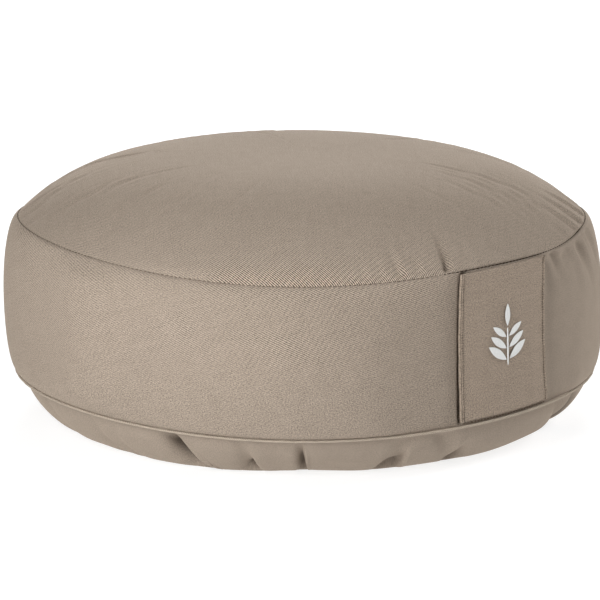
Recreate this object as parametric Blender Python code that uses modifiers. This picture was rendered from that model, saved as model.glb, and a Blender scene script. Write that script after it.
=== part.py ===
"""A round zafu meditation cushion in twill, lying on its base.

A high crown and a low belly are drawn in at an upper and a lower seam. A welt runs round the lower
seam, tucks gather the base under it, and a hemmed handle strip with a sprig motif spans the side.
Metres, +Z up, floor at z = 0. Azimuths are in degrees round the cushion from -Y towards +X.
"""
import math
from collections import namedtuple

import bmesh
import bpy
from mathutils import Matrix, Vector

# ---- driving sizes -------------------------------------------------------------------------------
SEAM_DIAMETER = 0.328         # across the cushion, between the upper and the lower seam's size
SITTING_HEIGHT = 0.150        # floor to the middle of the crown

# section of the plain round form
UPPER_SEAM_RADIUS = SEAM_DIAMETER / 2 - 0.0018
LOWER_SEAM_RADIUS = SEAM_DIAMETER / 2 + 0.0006
CROWN_RISE = 0.0403           # the middle of the top panel above its seam
CROWN_POWER = 4.3             # high: a flat middle and steep edges
CROWN_DIP = 0.0026            # the top panel's edge sags most at the back right
CROWN_DIP_AZIMUTH = 145.0
UPPER_SEAM_HEIGHT = SITTING_HEIGHT - CROWN_RISE
LOWER_SEAM_HEIGHT = 0.0272
BELLY = 0.0083                # the side band outside the line between its seams
BELLY_POWERS = (0.47, 0.37)   # at the upper and the lower seam: the lower, the sharper it turns in
REST_RADIUS = 0.1394          # the part of the base that lies flat on the floor
BASE_POWER = 1.5              # exponent of the superellipse from the lower seam to the floor

# the seams aren't level: the filling has settled
SEAM_TILT = 0.0051            # the upper seam: up at the front and down at the back
SEAM_WAVE = 0.0047            # down at the front and the back, up at the two sides
SEAM_RIPPLE = 0.0013          # three times up and down round the cushion
SEAM_SAG = 0.0039             # down beside the handle strip
SEAM_SAG_AZIMUTH, SEAM_SAG_SPREAD = 60.0, 20.0
LOWER_SEAM_RIPPLE = 0.0014
UPPER_SEAM_SHIFT = -0.0006    # sideways, towards +X
BASE_SHIFT = 0.0015

# handle strip, welt and motif
STRIP_AZIMUTH = 42.1          # of its top
STRIP_LEAN = 0.9              # degrees towards -azimuth, from its top to its foot
STRIP_WIDTH = 0.0648
STRIP_THICKNESS = 0.0016
STRIP_HEM_WIDTH = 0.005
STRIP_HEM_THICKNESS = 0.0024
STRIP_GAP = 0.0016            # behind the middle of the strip, a flat slot
STRIP_END_GAP = 0.0004
STRIP_ENDS = (0.012, 0.975)   # share of the way down the side band
STRIP_PRESS = 0.85            # share of the belly that the taut strip presses flat
STRIP_POCKET = 0.0020         # how far the band dips in behind the strip
STRIP_EASE = 7.0              # degrees over which the belly comes back beside the strip
WELT_RADIUS = 0.0013
PIECE_GAP = 0.0003
MOTIF_HEIGHT = 0.033
MOTIF_MIDDLE = 0.47           # share of the way down the side band
MOTIF_THICKNESS = 0.0007
STEM_WIDTH = 0.0011
LEAF_LENGTH = 0.0155
LEAF_WIDTH = 0.0048
LEAF_TILT = 56.0              # from the stem
LEAF_PAIRS = 3

# mesh
AZIMUTH_STEPS = 108
FRONT_CROWDING = 0.35         # moves the steps closer together at the front, where the tucks show
CROWN_ROWS, BAND_ROWS, BASE_ROWS = 11, 12, 8

# ---- folds ---------------------------------------------------------------------------------------
# azimuth at the seam, drift from there to the fold's far end, half width (all degrees), depth (m)
Fold = namedtuple("Fold", "azimuth drift width depth")

BASE_TUCKS = [
    Fold(azimuth=-86, drift=4, width=9.0, depth=0.0028),
    Fold(azimuth=-64, drift=4, width=2.4, depth=0.0022),
    Fold(azimuth=-47, drift=5, width=2.0, depth=0.0016),
    Fold(azimuth=-42, drift=4, width=1.8, depth=0.0014),
    Fold(azimuth=-26, drift=9, width=1.9, depth=0.0060),
    Fold(azimuth=-13, drift=4, width=1.5, depth=0.0020),
    Fold(azimuth=-5, drift=-1, width=2.2, depth=0.0012),
    Fold(azimuth=-1, drift=2, width=1.5, depth=0.0038),
    Fold(azimuth=20, drift=-4, width=1.7, depth=0.0030),
    Fold(azimuth=26, drift=9, width=2.0, depth=0.0032),
    Fold(azimuth=59, drift=12, width=2.4, depth=0.0040),
    Fold(azimuth=88, drift=-5, width=2.6, depth=0.0028),
    Fold(azimuth=112, drift=8, width=3.0, depth=0.0040),
    Fold(azimuth=137, drift=-6, width=2.8, depth=0.0030),
    Fold(azimuth=163, drift=5, width=3.2, depth=0.0045),
    Fold(azimuth=188, drift=-5, width=2.8, depth=0.0026),
    Fold(azimuth=211, drift=7, width=3.0, depth=0.0038),
    Fold(azimuth=238, drift=-4, width=2.6, depth=0.0030),
    Fold(azimuth=264, drift=6, width=2.8, depth=0.0024),
]
CROWN_PUCKERS = [
    Fold(azimuth=-82, drift=7, width=2.0, depth=0.0014),
    Fold(azimuth=18, drift=1, width=1.6, depth=0.0008),
    Fold(azimuth=28, drift=3, width=1.8, depth=0.0022),
    Fold(azimuth=34, drift=1, width=1.5, depth=0.0010),
    Fold(azimuth=55, drift=-3, width=1.8, depth=0.0014),
    Fold(azimuth=79, drift=-5, width=2.2, depth=0.0018),
    Fold(azimuth=128, drift=4, width=2.6, depth=0.0016),
    Fold(azimuth=215, drift=-4, width=2.6, depth=0.0014),
]
BAND_PUCKERS = [
    Fold(azimuth=57, drift=-4, width=1.6, depth=0.0018),
    Fold(azimuth=63, drift=-3, width=1.8, depth=0.0026),
    Fold(azimuth=71, drift=-3, width=1.9, depth=0.0022),
    Fold(azimuth=80, drift=-2, width=2.0, depth=0.0014),
]
CROWN_PUCKER_REACH = 0.22     # share of the top panel's radius, in from its seam
BAND_PUCKER_REACH = 0.40      # share of the side band's height, down from its seam


def wrapped(degrees):
    """The same direction, between -180 and 180 degrees."""
    return (degrees + 180) % 360 - 180


def ease(x):
    """0 below 0, 1 above 1, and smooth between."""
    x = min(max(x, 0.0), 1.0)
    return x * x * (3 - 2 * x)


def fold_depth(folds, azimuth, travel, fade):
    """Depth of a row of folds at an azimuth; travel runs 0 to 1 from the seam to their far ends."""
    depth = 0.0
    for fold in folds:
        off = wrapped(azimuth - fold.azimuth - fold.drift * travel)
        depth += fold.depth * math.exp(-(off / fold.width) ** 2)
    return depth * fade


def beside_strip(azimuth):
    """1 behind the handle strip, easing to 0 at both sides of it."""
    half = math.degrees(STRIP_WIDTH / 2 / UPPER_SEAM_RADIUS)
    return ease(1 - (abs(wrapped(azimuth - STRIP_AZIMUTH)) - half) / STRIP_EASE)


def crown_row(share, azimuth):
    """Radius and height on the top panel, share 0 in its middle and 1 at its seam."""
    reach = (1 - share) / CROWN_PUCKER_REACH
    pucker = fold_depth(CROWN_PUCKERS, azimuth, reach, ease(1 - reach) * ease(share * 2))
    radius = UPPER_SEAM_RADIUS * share
    towards_dip = (1 + math.cos(math.radians(azimuth - CROWN_DIP_AZIMUTH))) / 2
    dip = CROWN_DIP * towards_dip ** 2 * 4 * share ** 4 * (1 - share ** 4)
    height = UPPER_SEAM_HEIGHT + CROWN_RISE * (1 - share ** CROWN_POWER) - pucker - dip
    return radius, height + seam_rise(azimuth) * share ** 3


def band_row(share, azimuth):
    """Radius and height on the side band, share 0 at the upper seam and 1 at the lower one."""
    pressed = beside_strip(azimuth)
    reach = share / BAND_PUCKER_REACH
    radius = UPPER_SEAM_RADIUS + (LOWER_SEAM_RADIUS - UPPER_SEAM_RADIUS) * share
    power = BELLY_POWERS[0] + (BELLY_POWERS[1] - BELLY_POWERS[0]) * ease(share)
    radius += BELLY * (4 * share * (1 - share)) ** power * (1 - STRIP_PRESS * pressed)
    radius -= STRIP_POCKET * pressed * math.sin(math.pi * share) ** 0.5
    radius -= fold_depth(BAND_PUCKERS, azimuth, reach, ease(1 - reach) * ease(share * 12))
    height = UPPER_SEAM_HEIGHT + (LOWER_SEAM_HEIGHT - UPPER_SEAM_HEIGHT) * share
    return radius, height + seam_rise(azimuth) * (1 - share) + lower_seam_rise(azimuth) * share


def base_row(share, azimuth):
    """Radius and height on the base panel, share 0 at the lower seam and 1 where it lies flat."""
    turn = share * math.pi / 2
    radius = REST_RADIUS + (LOWER_SEAM_RADIUS - REST_RADIUS) * math.cos(turn) ** (2 / BASE_POWER)
    seam_height = LOWER_SEAM_HEIGHT + lower_seam_rise(azimuth)
    height = seam_height * (1 - math.sin(turn) ** (2 / BASE_POWER))
    fade = ease(share * 5) * ease((1 - share) * 4)
    return radius - fold_depth(BASE_TUCKS, azimuth, share, fade), height


def seam_rise(azimuth):
    """How far the upper seam lies above its mean height."""
    angle = math.radians(azimuth)
    sag = math.exp(-(wrapped(azimuth - SEAM_SAG_AZIMUTH) / SEAM_SAG_SPREAD) ** 2)
    waves = SEAM_WAVE * math.cos(2 * angle) + SEAM_RIPPLE * math.cos(3 * angle)
    return SEAM_TILT * math.cos(angle) - waves - SEAM_SAG * sag


def lower_seam_rise(azimuth):
    """How far the lower seam lies above its mean height."""
    return -LOWER_SEAM_RIPPLE * math.cos(3 * math.radians(azimuth))


def round_point(radius, azimuth, height):
    """The point at a radius, azimuth and height; base and top lie a little off each other."""
    angle = math.radians(azimuth)
    shift = BASE_SHIFT + (UPPER_SEAM_SHIFT - BASE_SHIFT) * ease(height / UPPER_SEAM_HEIGHT)
    return Vector((radius * math.sin(angle) + shift, -radius * math.cos(angle), height))


def cushion_point(station, azimuth):
    """A point of the cushion's surface.

    Stations count the panels: 0 is the middle of the crown, 1 the upper seam, 2 the lower seam,
    3 the edge of the flat of the base and 4 its middle.
    """
    if station <= 1:
        radius, height = crown_row(station, azimuth)
    elif station <= 2:
        radius, height = band_row(station - 1, azimuth)
    elif station <= 3:
        radius, height = base_row(station - 2, azimuth)
    else:
        radius, height = REST_RADIUS * (4 - station), 0.0
    return round_point(radius, azimuth, height)


def strip_point(across, down, lift=0.0):
    """A point on the strip's inner face, or lifted off it; across runs -1 to 1, down 0 to 1."""
    share = STRIP_ENDS[0] + (STRIP_ENDS[1] - STRIP_ENDS[0]) * down
    azimuth = STRIP_AZIMUTH - STRIP_LEAN * (1 - (1 - down) ** 2)
    azimuth += across * math.degrees(STRIP_WIDTH / 2 / UPPER_SEAM_RADIUS)
    gap = STRIP_END_GAP + (STRIP_GAP - STRIP_END_GAP) * math.sin(math.pi * down) ** 0.5
    outward = Vector((math.sin(math.radians(azimuth)), -math.cos(math.radians(azimuth)), 0))
    return cushion_point(1 + share, azimuth) + outward * (gap + lift)


# ---- helpers -------------------------------------------------------------------------------------
def make_material(name, colour, roughness):
    material = bpy.data.materials.new(name)
    material.use_nodes = True
    shader = material.node_tree.nodes["Principled BSDF"]
    shader.inputs["Base Color"].default_value = (*colour, 1.0)
    shader.inputs["Roughness"].default_value = roughness
    shader.inputs["Metallic"].default_value = 0.0
    material.diffuse_color = (*colour, 1.0)
    return material


def add_part(name, data, material):
    """Put a mesh or curve into the cushion's collection as one named part."""
    part = bpy.data.objects.new(name, data)
    data.materials.append(material)
    parts.objects.link(part)
    return part


def smooth(part):
    for face in part.data.polygons:
        face.use_smooth = True


# ---- sub-parts -----------------------------------------------------------------------------------
def make_cushion(material):
    """Spin a row of stations round Z, then move each vertex to its place on the surface."""
    stations = [math.sin(math.pi / 2 * row / CROWN_ROWS) for row in range(CROWN_ROWS)]
    stations += [1 + (1 - math.cos(math.pi * row / BAND_ROWS)) / 2 for row in range(BAND_ROWS)]
    stations += [2 + row / BASE_ROWS for row in range(BASE_ROWS)]
    stations += [3.0, 3.5, 4.0]

    bm = bmesh.new()
    station_of = bm.verts.layers.float.new("station")
    row = []
    for station in stations:
        middle = station in (0.0, 4.0)
        vertex = bm.verts.new((0, 0 if middle else -1, -station))
        vertex[station_of] = station
        row.append(vertex)
    edges = [bm.edges.new(pair) for pair in zip(row, row[1:])]
    bmesh.ops.spin(bm, geom=row + edges, cent=(0, 0, 0), axis=(0, 0, 1),
                   angle=math.tau, steps=AZIMUTH_STEPS, use_merge=True)
    bmesh.ops.remove_doubles(bm, verts=bm.verts, dist=1e-5)

    for vertex in bm.verts:
        turn = math.atan2(vertex.co.x, -vertex.co.y)
        azimuth = math.degrees(turn - FRONT_CROWDING * math.sin(turn))
        vertex.co = cushion_point(vertex[station_of], azimuth)
    bmesh.ops.recalc_face_normals(bm, faces=bm.faces)

    mesh = bpy.data.meshes.new("cushion")
    bm.to_mesh(mesh)
    bm.free()
    cushion = add_part("cushion", mesh, material)
    smooth(cushion)
    return cushion


def make_handle_strip(material):
    """Lay a grid along the side band and thicken it, more at its two hems."""
    columns, rows = 24, 12
    bpy.ops.mesh.primitive_grid_add(x_subdivisions=columns, y_subdivisions=rows, size=2)
    strip = bpy.context.object
    strip.name = strip.data.name = "handle_strip"
    for collection in strip.users_collection:
        collection.objects.unlink(strip)
    parts.objects.link(strip)
    strip.data.materials.append(material)

    hem = strip.vertex_groups.new(name="hem")
    hem_share = 1 - STRIP_HEM_WIDTH / (STRIP_WIDTH / 2)
    for vertex in strip.data.vertices:
        across, down = vertex.co.x, (1 - vertex.co.y) / 2
        in_hem = abs(across) > hem_share
        hem.add([vertex.index], 1.0 if in_hem else STRIP_THICKNESS / STRIP_HEM_THICKNESS, "REPLACE")
        vertex.co = strip_point(across, down)

    solidify = strip.modifiers.new("thickness", "SOLIDIFY")
    solidify.thickness = STRIP_HEM_THICKNESS
    solidify.offset = 1
    solidify.vertex_group = "hem"
    solidify.thickness_vertex_group = 0.0
    smooth(strip)
    return strip


def make_welt(material):
    """Run a round folded edge along the lower seam, just under the belly of the side band."""
    curve = bpy.data.curves.new("welt", "CURVE")
    curve.dimensions = "3D"
    curve.bevel_depth = WELT_RADIUS
    curve.bevel_resolution = 1
    curve.use_fill_caps = False
    spline = curve.splines.new("POLY")
    spline.points.add(AZIMUTH_STEPS - 1)
    spline.use_cyclic_u = True
    radius = LOWER_SEAM_RADIUS + PIECE_GAP + WELT_RADIUS
    height = LOWER_SEAM_HEIGHT - WELT_RADIUS + PIECE_GAP / 2
    for number, point in enumerate(spline.points):
        azimuth = 360 * number / AZIMUTH_STEPS
        point.co = (*round_point(radius, azimuth, height + lower_seam_rise(azimuth)), 1)
    return add_part("welt", curve, material)


def motif_frame(across_offset, down):
    """Place on the strip for a flat motif piece: X up the strip, Y across it, Z off it."""
    across = across_offset / (STRIP_WIDTH / 2)
    lift = STRIP_THICKNESS + PIECE_GAP + MOTIF_THICKNESS / 2
    here = strip_point(across, down, lift)
    up = (strip_point(across, down - 0.05) - strip_point(across, down + 0.05)).normalized()
    side = (strip_point(across + 0.05, down) - strip_point(across - 0.05, down)).normalized()
    normal = side.cross(up).normalized()
    frame = Matrix((up, normal.cross(up), normal)).transposed().to_4x4()
    frame.translation = here
    return frame


def make_motif(material):
    """A plain sprig: an upright stem, pairs of leaves that shrink upwards, and one leaf on top."""
    strip_height = (LOWER_SEAM_HEIGHT - UPPER_SEAM_HEIGHT) * (STRIP_ENDS[0] - STRIP_ENDS[1])
    stem_length = MOTIF_HEIGHT - LEAF_LENGTH * 0.8

    def place(part, across_offset, up_offset, tilt):
        frame = motif_frame(across_offset, MOTIF_MIDDLE - up_offset / strip_height)
        part.matrix_world = frame @ Matrix.Rotation(math.radians(tilt), 4, "Z")

    stem_middle = (stem_length - MOTIF_HEIGHT) / 2
    bpy.ops.mesh.primitive_cube_add(size=1)
    stem = bpy.context.object
    stem.name = stem.data.name = "motif_stem"
    stem.data.transform(Matrix.Diagonal((stem_length, STEM_WIDTH, MOTIF_THICKNESS, 1)))
    stem.data.materials.append(material)
    place(stem, 0.0, stem_middle, 0.0)

    leaves = []
    for pair in range(LEAF_PAIRS):
        size = 1 - 0.12 * pair
        foot = -MOTIF_HEIGHT / 2 + stem_length * (0.16 + 0.30 * pair)
        leaves += [(side, foot, size, side * LEAF_TILT) for side in (-1, 1)]
    leaves.append((0, stem_middle + stem_length / 2 + 2 * PIECE_GAP, 0.8, 0.0))

    for number, (side, foot, size, tilt) in enumerate(leaves, start=1):
        length, width = LEAF_LENGTH * size, LEAF_WIDTH * size
        bpy.ops.mesh.primitive_cylinder_add(vertices=20, radius=1, depth=MOTIF_THICKNESS)
        leaf = bpy.context.object
        leaf.name = leaf.data.name = f"motif_leaf_{number}"
        for vertex in leaf.data.vertices:
            x, y = vertex.co.x, vertex.co.y
            vertex.co.x, vertex.co.y = x * length / 2, y * abs(y) * width / 2
        leaf.data.materials.append(material)
        lean = math.radians(tilt)
        reach = length / 2 + (STEM_WIDTH if side else 0)
        place(leaf, math.sin(lean) * reach, foot + math.cos(lean) * length / 2, -tilt)

    for part in [stem] + [bpy.data.objects[f"motif_leaf_{n}"] for n in range(1, len(leaves) + 1)]:
        for collection in part.users_collection:
            collection.objects.unlink(part)
        parts.objects.link(part)


# ---- the object ----------------------------------------------------------------------------------
for old in list(bpy.data.objects):
    bpy.data.objects.remove(old, do_unlink=True)
parts = bpy.data.collections.new("zafu_cushion")
bpy.context.scene.collection.children.link(parts)

twill = make_material("greige_twill", (0.310, 0.258, 0.205), 0.90)
strip_twill = make_material("greige_strip_twill", (0.290, 0.238, 0.190), 0.90)
welt_twill = make_material("greige_welt_twill", (0.330, 0.278, 0.222), 0.90)
white_thread = make_material("white_thread", (0.80, 0.81, 0.79), 0.55)

make_cushion(twill)
make_handle_strip(strip_twill)
make_welt(welt_twill)
make_motif(white_thread)
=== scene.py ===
"""A round zafu meditation cushion in greige twill, as a studio photograph shows it.

Metres, +Z up, floor at z = 0. Azimuths are in degrees round the cushion from its front, -Y, towards +X.
"""
import math
from collections import namedtuple

import bpy
import numpy as np
from mathutils import Matrix, Vector


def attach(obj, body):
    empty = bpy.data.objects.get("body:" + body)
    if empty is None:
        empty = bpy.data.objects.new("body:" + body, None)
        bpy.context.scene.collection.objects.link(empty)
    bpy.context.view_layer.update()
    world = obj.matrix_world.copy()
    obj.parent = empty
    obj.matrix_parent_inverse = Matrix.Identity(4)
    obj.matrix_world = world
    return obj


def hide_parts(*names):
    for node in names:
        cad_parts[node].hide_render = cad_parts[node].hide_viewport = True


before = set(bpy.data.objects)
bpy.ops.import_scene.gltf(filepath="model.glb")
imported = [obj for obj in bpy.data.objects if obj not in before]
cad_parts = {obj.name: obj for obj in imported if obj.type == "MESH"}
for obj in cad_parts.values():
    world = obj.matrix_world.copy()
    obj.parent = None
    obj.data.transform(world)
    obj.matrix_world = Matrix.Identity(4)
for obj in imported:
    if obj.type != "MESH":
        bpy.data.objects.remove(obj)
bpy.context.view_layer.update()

# ==== Camera ======================================================================================
# A long lens two metres off and a little above the cushion, which fills the picture. Its angle is
# the photograph's.
CAMERA_DISTANCE = 2.007
CAMERA_ELEVATION = math.radians(13.64)
CAMERA_AIM = Vector((-0.0015, 0.0, 0.0625))
CAMERA_LENS_MM = 208.8

look = Vector((0, math.cos(CAMERA_ELEVATION), -math.sin(CAMERA_ELEVATION)))
bpy.ops.object.camera_add(location=CAMERA_AIM - look * CAMERA_DISTANCE)
camera = bpy.context.object
camera.rotation_euler = look.to_track_quat("-Z", "Y").to_euler()
camera.data.lens = CAMERA_LENS_MM
camera.data.sensor_width = 36
camera.data.clip_end = 50
bpy.context.scene.camera = camera

# ==== Cover: section ==============================================================================
# A top panel, a side band and a base panel of cotton twill, sewn into one skin round loose husks.
# The crown is full and steep at its edge, the band has a low belly, and the base is gathered in.
UPPER_SEAM_RADIUS, UPPER_SEAM_HEIGHT = 0.1622, 0.1097
LOWER_SEAM_RADIUS, LOWER_SEAM_HEIGHT = 0.1646, 0.0272
CROWN_RISE, CROWN_POWER = 0.0403, 4.3
CROWN_DIP, CROWN_DIP_AZIMUTH = 0.0016, 140.0
BELLY, BELLY_POWERS = 0.0083, (0.47, 0.37)
BAND_LENGTH = 0.084           # from seam to seam, over the belly
REST_RADIUS, BASE_POWER = 0.1394, 1.5
# Where the gathers lift the edge of the flat of the base: azimuth, spread and depth.
REST_PULLS = ((1, 10, 0.0062), (27, 11, 0.0026), (56, 8, 0.0014), (-50, 6, 0.0014))
SEAM_TILT = 0.0051            # the settled filling lifts the upper seam at the front
SEAM_WAVE = 0.0047            # and lifts it at both sides
SEAM_RIPPLE, LOWER_SEAM_RIPPLE = 0.0013, 0.0014                # three times up and down all round
SEAM_SAG, SEAM_SAG_AZIMUTH, SEAM_SAG_SPREAD = 0.0039, 60.0, 20.0    # down beside the strip
UPPER_SEAM_SHIFT, BASE_SHIFT = -0.0006, 0.0015                 # sideways, towards +X

STRIP_AZIMUTH, STRIP_WIDTH = 42.70, 0.0653
STRIP_PRESS = 0.85            # share of the belly that the taut strip presses flat
STRIP_POCKET = 0.0020         # how far the band dips in behind the strip
STRIP_EASE = (20.0, 11.0)     # degrees over which the belly comes back, left and right of the strip

# A fold starts at a seam. Azimuth, drift to its far end and half width are in degrees, depth in
# metres, reach in shares of its panel. A skew over 1 steepens its side towards +azimuth, and a lip
# is the roll of cloth that stands up there.
Fold = namedtuple("Fold", "azimuth drift width depth reach skew lip", defaults=(1.0, 1.0, 0.0))

BASE_TUCKS = [
    Fold(azimuth=-86, drift=4, width=9.0, depth=0.0028),
    Fold(azimuth=-64, drift=4, width=2.4, depth=0.0022),
    Fold(azimuth=-47, drift=5, width=2.0, depth=0.0016),
    Fold(azimuth=-42, drift=4, width=1.8, depth=0.0014),
    Fold(azimuth=-27.3, drift=8, width=2.2, depth=0.0040),
    Fold(azimuth=-13, drift=4, width=1.5, depth=0.0020),
    Fold(azimuth=-5, drift=-1, width=2.2, depth=0.0012),
    Fold(azimuth=-1, drift=2, width=1.5, depth=0.0010),
    Fold(azimuth=20, drift=-4, width=1.7, depth=0.0030),
    Fold(azimuth=26, drift=9, width=2.0, depth=0.0032),
    Fold(azimuth=59, drift=12, width=2.4, depth=0.0040),
    Fold(azimuth=88, drift=-5, width=2.6, depth=0.0028),
    Fold(azimuth=112, drift=8, width=3.0, depth=0.0040),
    Fold(azimuth=137, drift=-6, width=2.8, depth=0.0030),
    Fold(azimuth=163, drift=5, width=3.2, depth=0.0045),
    Fold(azimuth=188, drift=-5, width=2.8, depth=0.0026),
    Fold(azimuth=211, drift=7, width=3.0, depth=0.0038),
    Fold(azimuth=238, drift=-4, width=2.6, depth=0.0030),
    Fold(azimuth=264, drift=6, width=2.8, depth=0.0024),
]
BAND_PUCKERS = [
    Fold(azimuth=56, drift=1, width=1.7, depth=0.0020, reach=0.40),
    Fold(azimuth=61, drift=3, width=1.8, depth=0.0030, reach=0.45),
    Fold(azimuth=68, drift=4, width=1.9, depth=0.0026, reach=0.45),
    Fold(azimuth=77, drift=3, width=2.0, depth=0.0014, reach=0.40),
]


def wrapped(degrees):
    return (degrees + 180) % 360 - 180


def ease(x):
    """0 below 0, 1 above 1, and smooth between."""
    x = np.clip(x, 0.0, 1.0)
    return x * x * (3 - 2 * x)


def fold_depth(folds, azimuth, share, start, end):
    """How deep a row of folds is; share runs 0 to 1 from the seam over the panel. Start and end say
    how soon a fold deepens and how late it fades."""
    depth = 0.0
    for fold in folds:
        travel = share / fold.reach
        off = wrapped(azimuth - fold.azimuth - fold.drift * travel) / fold.width
        valley = fold.depth * np.exp(-(off * np.where(off > 0, fold.skew, 1 / fold.skew)) ** 2)
        roll = fold.lip * np.exp(-(off * 1.6 - 2.0) ** 2) * ease((1 - travel) * 1.8)
        depth = depth + (valley - roll) * ease((1 - travel) * end)
    return depth * ease(share * start)


def beside_strip(azimuth):
    """1 behind the handle strip, easing to 0 at both sides of it."""
    half = math.degrees(STRIP_WIDTH / 2 / UPPER_SEAM_RADIUS)
    off = wrapped(azimuth - STRIP_AZIMUTH)
    return ease(1 - (abs(off) - half) / np.where(off < 0, *STRIP_EASE))


def seam_rise(azimuth):
    angle = np.radians(azimuth)
    sag = np.exp(-(wrapped(azimuth - SEAM_SAG_AZIMUTH) / SEAM_SAG_SPREAD) ** 2)
    waves = SEAM_WAVE * np.cos(2 * angle) + SEAM_RIPPLE * np.cos(3 * angle)
    return SEAM_TILT * np.cos(angle) - waves - SEAM_SAG * sag


def lower_seam_rise(azimuth):
    return -LOWER_SEAM_RIPPLE * np.cos(3 * np.radians(azimuth))


def crown_row(share, azimuth):
    towards_dip = (1 + np.cos(np.radians(azimuth - CROWN_DIP_AZIMUTH))) / 2
    dip = CROWN_DIP * towards_dip ** 4 * 4 * share ** 4 * (1 - share ** 4)
    height = UPPER_SEAM_HEIGHT + CROWN_RISE * (1 - share ** CROWN_POWER) - dip
    return UPPER_SEAM_RADIUS * share, height + seam_rise(azimuth) * share ** 3


def band_row(share, azimuth):
    pressed = beside_strip(azimuth)
    power = BELLY_POWERS[0] + (BELLY_POWERS[1] - BELLY_POWERS[0]) * ease(share)
    radius = UPPER_SEAM_RADIUS + (LOWER_SEAM_RADIUS - UPPER_SEAM_RADIUS) * share
    radius = radius + BELLY * (4 * share * (1 - share)) ** power * (1 - STRIP_PRESS * pressed)
    radius = radius - STRIP_POCKET * pressed * np.sin(np.pi * share) ** 0.5
    radius = radius - fold_depth(BAND_PUCKERS, azimuth, share, start=12, end=1)
    height = UPPER_SEAM_HEIGHT + (LOWER_SEAM_HEIGHT - UPPER_SEAM_HEIGHT) * share
    return radius, height + seam_rise(azimuth) * (1 - share) + lower_seam_rise(azimuth) * share


def rest_radius(azimuth):
    """Edge of the flat of the base."""
    lifted = [depth * np.exp(-(wrapped(azimuth - middle) / spread) ** 2)
              for middle, spread, depth in REST_PULLS]
    return REST_RADIUS - sum(lifted)


def base_row(share, azimuth):
    turn = share * np.pi / 2
    rest = rest_radius(azimuth)
    radius = rest + (LOWER_SEAM_RADIUS - rest) * np.cos(turn) ** (2 / BASE_POWER)
    height = (LOWER_SEAM_HEIGHT + lower_seam_rise(azimuth)) * (1 - np.sin(turn) ** (2 / BASE_POWER))
    return radius - fold_depth(BASE_TUCKS, azimuth, share, start=5, end=4), height


def cover_points(station, azimuth):
    """Points of the skin. Station 0 is the middle of the crown, 1 the upper seam, 2 the lower seam,
    3 the edge of the flat of the base and 4 its middle."""
    station, azimuth = np.broadcast_arrays(np.asarray(station, float), np.asarray(azimuth, float))
    rows = [
        crown_row(np.clip(station, 0, 1), azimuth),
        band_row(np.clip(station - 1, 0, 1), azimuth),
        base_row(np.clip(station - 2, 0, 1), azimuth),
        (rest_radius(azimuth) * (4 - station), 0 * station),
    ]
    panels = [station <= 1, station <= 2, station <= 3]
    radius = np.select(panels, [row[0] for row in rows[:3]], rows[3][0])
    height = np.select(panels, [row[1] for row in rows[:3]], rows[3][1])
    return round_points(radius, azimuth, height)


def round_points(radius, azimuth, height):
    angle = np.radians(azimuth)
    shift = BASE_SHIFT + (UPPER_SEAM_SHIFT - BASE_SHIFT) * ease(height / UPPER_SEAM_HEIGHT)
    return np.stack([radius * np.sin(angle) + shift, -radius * np.cos(angle), height], axis=-1)


# ==== Cover: cloth ================================================================================
# A grid is rolled round the section like cloth round a form, and closed at its join and its poles.
# A coarse one is blown up with air between its pinned seams, to find how the cloth creases, and the
# fine one, which is kept, takes its creases from it.
AROUND, FORM_AROUND = 720, 216
FRONT_CROWDING = 0.35         # the columns stand closer at the front
COVER_ROWS, FORM_ROWS = (44, 42, 36, 4), (20, 18, 12, 2)   # in crown, band, base and flat of the base
CROWN_CROWDING, BAND_CROWDING, BASE_CROWDING = 2.2, 1.8, 1.2   # the rows stand closer at the seams
CROWN_GRAIN, BAND_GRAIN, BASE_GRAIN = (math.radians(turn) for turn in (-4, -17, 20))
CROWN_DRAWING = 1.08          # the crown's wales are drawn closer together
BAND_DRAWING = 0.7            # and the band's too, away from its front
BAND_DRAWING_END, BAND_DRAWING_FADE = 100, 45     # degrees round from the front
BAND_SKEW = 0.19              # the band's wales climb a little from the front to the back
AIR_PRESSURE = 12.0
AIR_FRAMES = 20
AIR_SWELL = 0.0040            # the most that the air may move the cloth
BROAD_WAVES = 9               # swellings that go round fewer times than this are let out again
FOLLOWED_FOLDS = [(-26.8, 8.8), (-0.4, 1.2), (66, 2)]     # azimuth and drift of the sharpest folds
FOLLOWED_SPREAD = 5.0         # degrees


def read_points(mesh):
    points = np.zeros(len(mesh.vertices) * 3)
    mesh.vertices.foreach_get("co", points)
    return points.reshape(-1, 3)


def write_points(mesh, points):
    mesh.vertices.foreach_set("co", np.asarray(points, float).ravel())
    mesh.update()


def read_number(mesh, name):
    values = np.zeros(len(mesh.vertices))
    mesh.attributes[name].data.foreach_get("value", values)
    return values


def write_number(mesh, name, values):
    mesh.attributes.new(name, "FLOAT", "POINT").data.foreach_set("value", values.astype("f"))


def row_stations(crown_rows, band_rows, base_rows, flat_rows):
    """Stations from the middle of the crown to the middle of the base."""
    crown = np.tanh(CROWN_CROWDING * np.arange(crown_rows) / crown_rows) / math.tanh(CROWN_CROWDING)
    band = np.tanh(BAND_CROWDING * (2 * np.arange(band_rows) / band_rows - 1))
    base = np.tanh(BASE_CROWDING * (1 - np.arange(base_rows) / base_rows))
    return np.concatenate([crown, 1.5 + band / math.tanh(BAND_CROWDING) / 2,
                           3 - base / math.tanh(BASE_CROWDING),
                           3 + np.arange(flat_rows + 1) / flat_rows])


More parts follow.
